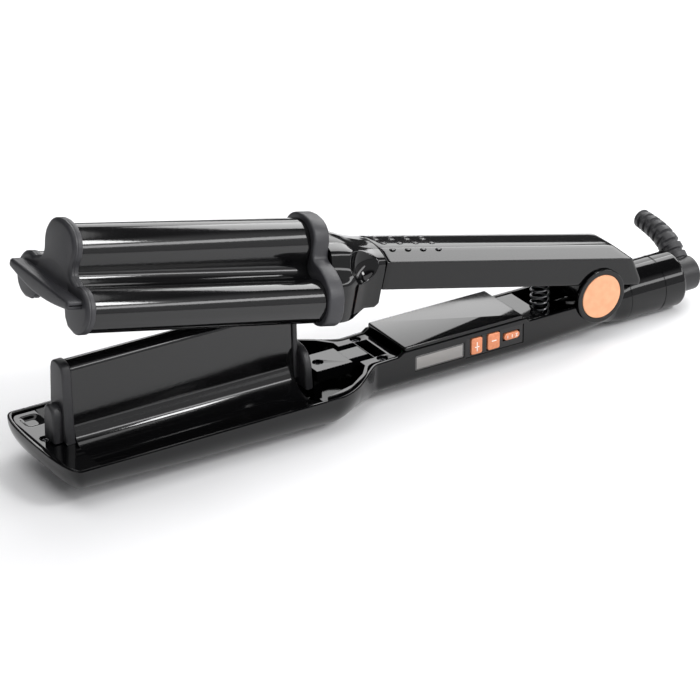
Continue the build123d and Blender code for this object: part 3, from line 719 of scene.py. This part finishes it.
# ================================================================ opening spring
# Hard-drawn steel wire wound into a compression spring that stands between the grips.
def ground_steel():
    """Bright metal with faint stains in its polish."""
    material, tree, shader = new_material("spring_steel_hard_drawn")
    stain = spread(tree, grain(tree, 300.0, 3.0), (0.2, 0.4))
    tree.links.new(stain, shader.inputs["Roughness"])
    shader.inputs["Base Color"].default_value = linear("#8A8A8C")
    shader.inputs["Metallic"].default_value = 1.0
    return material


def tube(path, radius, around=16):
    """Rings of points round a path. The radius is one number, one per ring or one per point."""
    path = np.array(path, float)
    tangent = np.gradient(path, axis=0)
    tangent /= np.linalg.norm(tangent, axis=1)[:, None]
    up = np.array([1.0, 0.0, 0.0]) if abs(tangent[:, 0]).max() < 0.9 else np.array([0.0, 0.0, 1.0])
    side = np.cross(tangent, up)
    side /= np.linalg.norm(side, axis=1)[:, None]
    over = np.cross(side, tangent)
    angle = np.linspace(0, 2 * np.pi, around, endpoint=False)
    radius = np.array(radius, float)
    radius = np.broadcast_to(radius if radius.ndim == 2 else radius.reshape(-1, 1), (len(path), around))
    ring = np.cos(angle)[None, :, None] * side[:, None] + np.sin(angle)[None, :, None] * over[:, None]
    return path[:, None] + ring * radius[..., None]


steel = ground_steel()
turns, steps_round = 6, 32
turn = np.linspace(0, turns * 2 * np.pi, turns * steps_round)
rise = 11.5 + 18.0 * turn / turn[-1]
helix = np.stack([-21.0 + 4.0 * np.cos(turn), 4.0 * np.sin(turn), rise], axis=1)
wire = [skinned(tube(helix, 0.5, 12))]
spring = piece("grip_spring", wire, "lower_arm", steel, "opening_spring")
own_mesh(spring)
frame["nodes"]["hinge_pin"].data.materials.clear()
frame["nodes"]["hinge_pin"].data.materials.append(steel)


# ================================================================ tail barrel
# Round black ABS barrel behind the hinge, turned smooth in the mould with two parting rings and a
# rounded end, in which the cord's head swivels.
quarter = np.linspace(0, np.pi / 2, 8)
groove = [(38.0, 12.58), (38.15, 12.32), (38.6, 12.32), (38.75, 12.58)]
end = [(48.5 + 2.0 * np.sin(t), 10.58 + 2.0 * np.cos(t)) for t in quarter]
outline = [(20.05, 12.3), (20.25, 12.55), *[(x, 12.58) for x in np.linspace(21, 37.5, 12)], *groove]
outline += [*[(x, 12.58) for x in np.linspace(39.5, 48.3, 6)], *end]
outline += [(50.5, 8.1), (50.2, 7.82), (46.0, 7.82), (46.0, 10.3), (20.05, 10.3)]
barrel = revolve(outline, 0, (0, 0, axis_z), 120, closed=True)
piece("cord_barrel", [barrel], "lower_arm", case_gloss, "tail_barrel", 26)


# ================================================================ swivelling head and strain relief
# Matt black nylon head that turns in the barrel, and the thermoplastic rubber sleeve moulded onto it.
# The sleeve's staggered slots let it bend, and they show as black bands.
def head_nylon():
    """Matt black moulding with a fine grain."""
    material, tree, shader = new_material("matt_black_nylon_moulded")
    bumped(tree, shader, grain(tree, 1100.0, 2.0), 0.1, 0.0003)
    shader.inputs["Base Color"].default_value = linear("#1B1B1D")
    shader.inputs["Roughness"].default_value = 0.42
    return material


def relief_rubber():
    """Dull black rubber with a cloudy bloom."""
    material, tree, shader = new_material("thermoplastic_rubber_overmoulded")
    bloom = tones(tree, grain(tree, 160.0, 4.0), "#232325", "#303033")
    tree.links.new(bloom, shader.inputs["Base Color"])
    shader.inputs["Roughness"].default_value = 0.5
    shader.inputs["Sheen Weight"].default_value = 0.1
    return material


head = [(43.0, 0.0), (43.0, 9.3), (45.7, 9.3), (45.7, 7.7)]
head += [(x, 7.7) for x in np.linspace(46.5, 60.2, 8)]
head += [(60.4 + 1.6 * np.sin(t), 6.1 + 1.6 * np.cos(t)) for t in quarter]
head += [(62.0, 4.0), (62.0, 2.0), (62.0, 0.0)]
shells = [revolve(head, 0, (0, 0, axis_z), 96)]
piece("swivel_cap", shells, "cord_swivel", head_nylon(), "swivel_head", 30)

route = curve([(0.0, 0.0), (6.0, 7.2), (12.0, 12.0), (20.0, 14.6), (30.8, 15.8)], 40)
run = np.concatenate([[0], np.cumsum(np.hypot(*np.diff(route, axis=0).T))])
steps = 150
even = np.linspace(0.12, 1.0, steps) * run[-1]
out, up = np.interp(even, run, route[:, 0]), np.interp(even, run, route[:, 1])
line = np.stack([np.full(steps, 56.4), out, axis_z + up], axis=1)
around = 32
taper = np.linspace(5.6, 4.35, steps)[:, None]
angle = np.linspace(0, 2 * np.pi, around, endpoint=False)[None]
slot_pitch = 4.1


def slots(phase):
    """How far each place along the sleeve lies inside a slot, from 0 to 1, in rows set off by a phase."""
    return smooth((np.abs((even[:, None] / slot_pitch + phase) % 1 - 0.5) - 0.28) / 0.07)


facing = smooth(0.5 + 2.2 * np.cos(angle + 0.6))
depth = 1.0 * (facing * slots(0.0) + (1 - facing) * slots(0.5))
depth *= smooth((1 - np.linspace(0, 1, steps)) / 0.05)[:, None]
sleeve = tube(line, taper - depth, around)
bore = tube(line[::-1][: int(steps * 12.0 / (run[-1] * 0.88))], 2.6, around)
mouth = tube(line[-2:], np.array([4.2, 4.0]), around)[1:]
shells = [skinned(np.concatenate([sleeve[:-1], mouth, bore]))]
sleeve_rubber = relief_rubber()
piece("strain_relief_sleeve", shells, "cord_swivel", sleeve_rubber, "strain_relief", 50)


# ================================================================ two-lobed plate
# The upper jaw's extrusion in the same baked coating: a round dome over a deep channel, with a hollow
# bar along each side.
swing = -hinge["range_deg"][0]


def opened(shell, degrees=swing, lift=0.0):
    """Shell turned nose up about the hinge: x' = x cos + z sin and z' = z cos - x sin from its axis."""
    points, faces = shell
    x, z = points[:, 0], points[:, 2] - hinge_z + lift
    c, s = np.cos(np.radians(degrees)), np.sin(np.radians(degrees))
    return np.stack([x * c + z * s, points[:, 1], hinge_z - x * s + z * c], axis=1), faces


def blend_line(start, end, start_way, end_way, count):
    """Cubic Hermite line between two points that leaves and arrives in given directions."""
    start, end, start_way, end_way = (np.array(v, float) for v in (start, end, start_way, end_way))
    t = np.linspace(0, 1, count)[:, None]
    pull = np.linalg.norm(end - start) * 1.1
    return (
        (2 * t**3 - 3 * t**2 + 1) * start + (t**3 - 2 * t**2 + t) * pull * start_way
        + (3 * t**2 - 2 * t**3) * end + (t**3 - t**2) * pull * end_way
    )


lobe_centre = (20.2, 27.4)
join_out = arc(lobe_centre, 9.0, 115, 115, 1)[0]
join_in = arc(lobe_centre, 9.0, 165, 165, 1)[0]
away = np.array([np.sin(np.radians(115)), -np.cos(np.radians(115))])
upper_half = np.concatenate(
    [
        arc((0, 45.1), 10.5, 90, 0, 25),
        np.linspace((10.46, 44.0), (10.2, 39.6), 4),
        blend_line((10.2, 39.6), join_out, (0, -1), away, 14)[1:-1],
        arc(lobe_centre, 9.0, 115, -195, 60),
        blend_line(join_in, (7.0, 35.0), (0.2, 1.0), (0, 1), 8)[1:],
        arc((0, 46.0), 7.0, 0, 90, 12),
    ]
)
shells = [opened(prism(whole(upper_half), -260.4, -152.5, 0.15))]
piece("lobed_plate", shells, "upper_arm", plate_gloss, "upper_wave_plate")


# ================================================================ end caps of the upper jaw
# The same matt nylon. The front cap closes the channel and sweeps down into a wide finger tab; the rear
# cap is a frame that follows the plate's outline.
def dome_to_lobe():
    """Outer half of a cap's outline: the dome's top, down the waist and round the lobe to its foot."""
    dome = [(0, 57.7), (5.4, 56.9), (9.8, 54.2), (12.1, 50.2), (12.3, 46.0)]
    waist = curve([*dome, (11.4, 41.6), (12.6, 38.6), (16.4, 37.0)], 6)
    return np.concatenate([waist[:-1], arc((20.2, 27.4), 9.5, 108, -90, 34)])


foot_line = [(15.5, 18.7), (12.4, 21.5), (10.4, 25.6), (8.6, 29.3), (0, 29.5)]
front_solid = np.concatenate([dome_to_lobe(), foot_line])
inner_line = [(14.6, 19.2), (11.9, 22.2), (10.5, 26.2), (7.8, 30.0), (7.7, 34.0)]
front_open = np.concatenate([dome_to_lobe(), inner_line, arc((0, 46.0), 7.7, 0, 90, 12)])
tab_y = np.concatenate([[-24.5, -24.4, -24.1], np.linspace(-23.6, 23.6, 41), [24.1, 24.4, 24.5]])
tab_round = np.interp(np.abs(tab_y), [0, 23.6, 24.1, 24.4, 24.5], [0, 0, 0.15, 0.45, 0.8])
tab_low = 33.0 - (3.4 + 3.0 * np.cos(np.pi * tab_y / 50.0))
tab_rings = []
for y, low, bite in zip(tab_y, tab_low, tab_round):
    ring = rounded_box(-271.15 + bite, -261.9 - bite, low + bite, 33.0 - bite, 1.2, 5)
    tab_rings.append(np.insert(ring, 1, y, axis=1))
tab = skinned(np.stack(tab_rings))
sweep_u, sweep_v = np.meshgrid(np.linspace(0, 1, 14), np.linspace(-1, 1, 25), indexing="ij")
reach = 12.2 + 10.0 * sweep_u**2.2
rise = 32.2 + 11.0 * (1 - sweep_u) ** 2.6 * (1 - 0.55 * np.abs(sweep_v) ** 2.2)
forward = -264.5 - 3.4 * sweep_u**1.6 * (1 - 0.25 * sweep_v**2)
top_skin = np.stack([forward, reach * sweep_v, rise], axis=2)
rear, under_z = np.full_like(forward, -262.5), np.full_like(rise, 31.0)
low_skin = np.stack([rear, reach * sweep_v * 0.9, under_z], axis=2)
fairing = skinned(np.concatenate([top_skin, low_skin[::-1]], axis=1).reshape(14, 50, 3))
closed_end = prism(whole(front_solid), -264.6, -261.6, 1.9)
open_end = prism(whole(front_open), -262.7, -260.5, 0.4)
shells = [opened(shell) for shell in (closed_end, open_end, tab, fairing)]
piece("lobed_front_cap", shells, "upper_arm", nylon, "upper_front_cap", 42)

brow = [(0, 57.7), (5.4, 56.9), (9.6, 54.4), (11.9, 50.2), (12.3, 46.4)]
wing = [(13.6, 42.8), (19.6, 40.8), (25.6, 37.6), (29.4, 33.0), (31.0, 26.8)]
rear_half = np.concatenate(
    [
        curve([*brow, *wing], 5)[:-1],
        curve([(31.0, 26.8), (30.3, 22.6), (27.4, 19.2), (22.6, 17.7), (16.6, 18.4)], 5),
        [(13.2, 21), (12.9, 34.2), (7.9, 36), (7.9, 46.2)],
        curve([(7.9, 46.2), (5.6, 51.8), (0, 54.1)], 6)[1:],
    ]
)
shells = [opened(prism(whole(rear_half), -152.4, -144.6, 1.1))]
piece("lobed_rear_cap", shells, "upper_arm", nylon, "upper_rear_cap", 42)


# ================================================================ shoulder of the upper arm
# Polished black ABS moulding that narrows from the jaw to the grip and is open underneath. A dished
# hollow on each side throws back one bright highlight.
bay, slot_end = -138.01, -121.01
gap = 0.01
neck_x = np.concatenate(
    [
        np.linspace(-144.4, bay - gap, 12),
        np.linspace(bay + gap, slot_end - gap, 52),
        np.linspace(slot_end + gap, -116.7, 12),
    ]
)
plan = [(-144.4, 22), (-138, 21.3), (-134, 20), (-130, 17.8), (-126, 16.2), (-121, 15.4), (-116.7, 15)]
back = [(-144.4, 49), (-139, 48.9), (-134, 48.4), (-127, 46.7), (-121, 45.7), (-116.7, 45.4)]
neck_w = np.interp(neck_x, *curve(plan, 6).T)
neck_t = np.interp(neck_x, *curve(back, 6).T)
neck_b = np.interp(neck_x, [-144.4, -130.5, -127, -124, -118.5, -116.7], [17.2, 17.4, 19, 21, 21, 22.4])
inner_y = np.where(neck_x < bay, 13.1, 8.8)
step_z = np.where(neck_x < bay, 34.3, 22.4)
roof_z = np.where(neck_x < slot_end, 40.0, 22.4)
loops = []
for w, t, low, y1, z1, z2 in zip(neck_w, neck_t, neck_b, inner_y, step_z, roof_z):
    side = [(0, t), (5, t - 0.45), (9, t - 1.3), (min(13.2, w - 1.7), t - 2.9)]
    side += [(min(15.0, w - 0.4), t - 5.4), (min(16.6, w), t - 9.0), (min(19.0, w), t - 12.0)]
    side += [(w, t - 15.0), (w, t - 19.0), (w, low + 1.2)]
    inside = [(w - 0.35, low + 0.35), (w - 1.2, low), (y1, low), (y1, z1), (8.2, z1), (8.2, z2), (0, z2)]
    loops.append(np.concatenate([curve(side, 7), inside]))
loops = np.stack([whole(loop) for loop in loops])
neck = np.concatenate([np.broadcast_to(neck_x[:, None, None], (*loops.shape[:2], 1)), loops], axis=2)
hollow = np.clip(1 - ((neck[..., 0] + 127.5) / 8.3) ** 2 - ((neck[..., 2] - 43.0) / 10.5) ** 2, 0, 1)
floor_y = 19.2 - 8.4 * np.sqrt(hollow)
beyond, blend = np.abs(neck[..., 1]) - floor_y, 0.3
sunk = (hollow > 0) & (np.abs(neck[..., 1]) > 9.0)
neck[..., 1] -= np.sign(neck[..., 1]) * sunk * np.logaddexp(0, beyond / blend) * blend
shells = [opened(skinned(neck))]
piece("arm_shoulder", shells, "upper_arm", case_gloss, "upper_neck", 40)


# ================================================================ upper grip
# Long black ABS cover with a flat top, sloped shoulders and a cut-off rear end, over a plain inner
# cover. Rows of small raised ovals near the jaw mark where the fingers hold it.
lean = swing + 0.95
section = np.concatenate(
    [
        curve([(0, 20.8), (4.2, 20.66), (7.6, 20.25)], 4)[:-1],
        arc((7.2, 18.6), 1.65, 72, 62, 3),
        curve([(8.6, 19.85), (11.6, 18.4), (14.2, 17.1)], 4),
        arc((14.35, 16.3), 0.65, 60, 0, 5),
        np.linspace((15.0, 15.9), (15.0, 5.2), 9),
        arc((14.2, 5.2), 0.8, 0, -90, 4),
        [(13.0, 4.4), (13.0, 8.0), (13.0, 15.4), (7.2, 18.1), (0, 18.6)],
    ]
)
outline = whole(section)
rear_end = np.interp(outline[:, 1], [4.4, 6.7, 16.75, 20.8], [21.9, 21.7, 14.6, 7.9])
share = np.concatenate([[0, 0.002, 0.006], np.linspace(0.02, 0.985, 40), [0.992, 0.997, 1.0]])[:, None]
shrink = np.concatenate([[0.7, 0.2, 0.0], np.zeros(40), [0.15, 0.5, 1.2]])[:, None]
along = -116.5 + share * (rear_end[None] + 116.5)
middle = np.array([0, 12.0])
pull = 1 - shrink[..., None] / 15.0
grid = np.concatenate([along[..., None], middle + (outline[None] - middle) * pull], axis=2)
cover = skinned(grid)
shells = [opened(cover, lean, hinge_z)]
piece("top_grip_cover", shells, "upper_arm", case_gloss, "upper_top_cover")

dots = []
rows_of_dots = (
    (-8.6, 20.0, (-110.4, -102.5, -94.7, -86.8)),
    (-3.3, 20.7, (-111.8, -103.5, -95.4, -87.0)),
    (1.0, 20.78, (-112.9, -105.0, -96.9, -88.8)),
    (4.7, 20.6, (-111.4, -103.4, -95.6, -87.4)),
)
down, round_it = np.linspace(0, np.pi, 7)[:, None], np.linspace(0, 2 * np.pi, 16, endpoint=False)
ball = [np.sin(down) * np.cos(round_it), np.sin(down) * np.sin(round_it), np.cos(down) + 0 * round_it]
bead = np.stack(ball, axis=2) * (1.65, 0.95, 0.42)
for y, z, places in rows_of_dots:
    dots += [opened(skinned(bead + (x, y, z)), lean, hinge_z) for x in places]
piece("finger_dots", dots, "upper_arm", case_gloss)

# ================================================================ screws
# Blackened steel pan-head screws with cross recesses: one in the front deck, two in the rear deck's
# recesses, one on the bracket and two in the upper front cap.
dark_steel, tree, shader = new_material("blackened_steel_screws")
oxide = spread(tree, grain(tree, 700.0, 3.0), (0.25, 0.45))
tree.links.new(oxide, shader.inputs["Roughness"])
shader.inputs["Base Color"].default_value = linear("#3C3C3F")
shader.inputs["Metallic"].default_value = 1.0


def screw_head(radius=2.0, height=0.9):
    """Pan head standing on the XY plane: rings of points, sunk where a cross covers their middle."""
    around = np.linspace(0, 2 * np.pi, 48, endpoint=False)
    ring, turn = np.meshgrid(np.linspace(1.0, 0.0, 19), around, indexing="ij")
    x, y = radius * ring * np.cos(turn), radius * ring * np.sin(turn)
    bar = np.minimum(np.abs(x), np.abs(y)) < 0.16 * radius
    z = height * np.sqrt(1 - 0.55 * ring**4) - 0.5 * height * (bar & (ring < 0.66))
    z[0] = 0.0
    return np.stack([x, y, z], axis=2)


spots = ((-109.2, 10.6, 17.6), (-109.2, -10.6, 17.6), (-134.5, 0, 17.8), (-261.0, 3.2, 16.1))
heads = [skinned(screw_head() + spot) for spot in spots]
piece("deck_screw_heads", heads, "lower_arm", dark_steel, "deck_screws")
facing = screw_head(2.1, 1.2)[..., [2, 1, 0]] * (-1, 1, 1)
heads = [opened(skinned(facing + (-262.0, side * 14.2, 22.8))) for side in (-1, 1)]
piece("front_cap_screw_heads", heads, "upper_arm", dark_steel, "upper_front_screws")


# ================================================================ parts inside
# The working parts behind the covers keep the shapes of the frame and get finishes of their own:
# alumina heaters, a glass-epoxy board, switch and display bodies, a nylon clamp and the inner cover.
def inner_finish(name, dark, light, scale, roughness):
    """Plain finish whose tone drifts between two hex colours in a fine noise."""
    material, tree, shader = new_material(name)
    tone = tones(tree, grain(tree, scale, 3.0), dark, light)
    tree.links.new(tone, shader.inputs["Base Color"])
    shader.inputs["Roughness"].default_value = roughness
    return material


alumina = inner_finish("white_alumina_ceramic_sintered", "#D8D4CC", "#E6E2DA", 400.0, 0.55)
inner_parts = {
    "lower_heater": alumina,
    "upper_heaters": alumina,
    "control_board": inner_finish("green_solder_mask_on_glass_epoxy", "#123D22", "#1B5230", 300.0, 0.35),
    "tact_switches": inner_finish("black_switch_plastic", "#17171A", "#222226", 500.0, 0.5),
    "display_module": inner_finish("grey_display_backing", "#55575A", "#64666A", 350.0, 0.4),
    "cable_clamp": inner_finish("natural_nylon_moulded", "#B9B4A8", "#C9C4B8", 260.0, 0.5),
    "upper_inner_cover": panel_satin,
}
for node, finish in inner_parts.items():
    frame["nodes"][node].data.materials.clear()
    frame["nodes"][node].data.materials.append(finish)
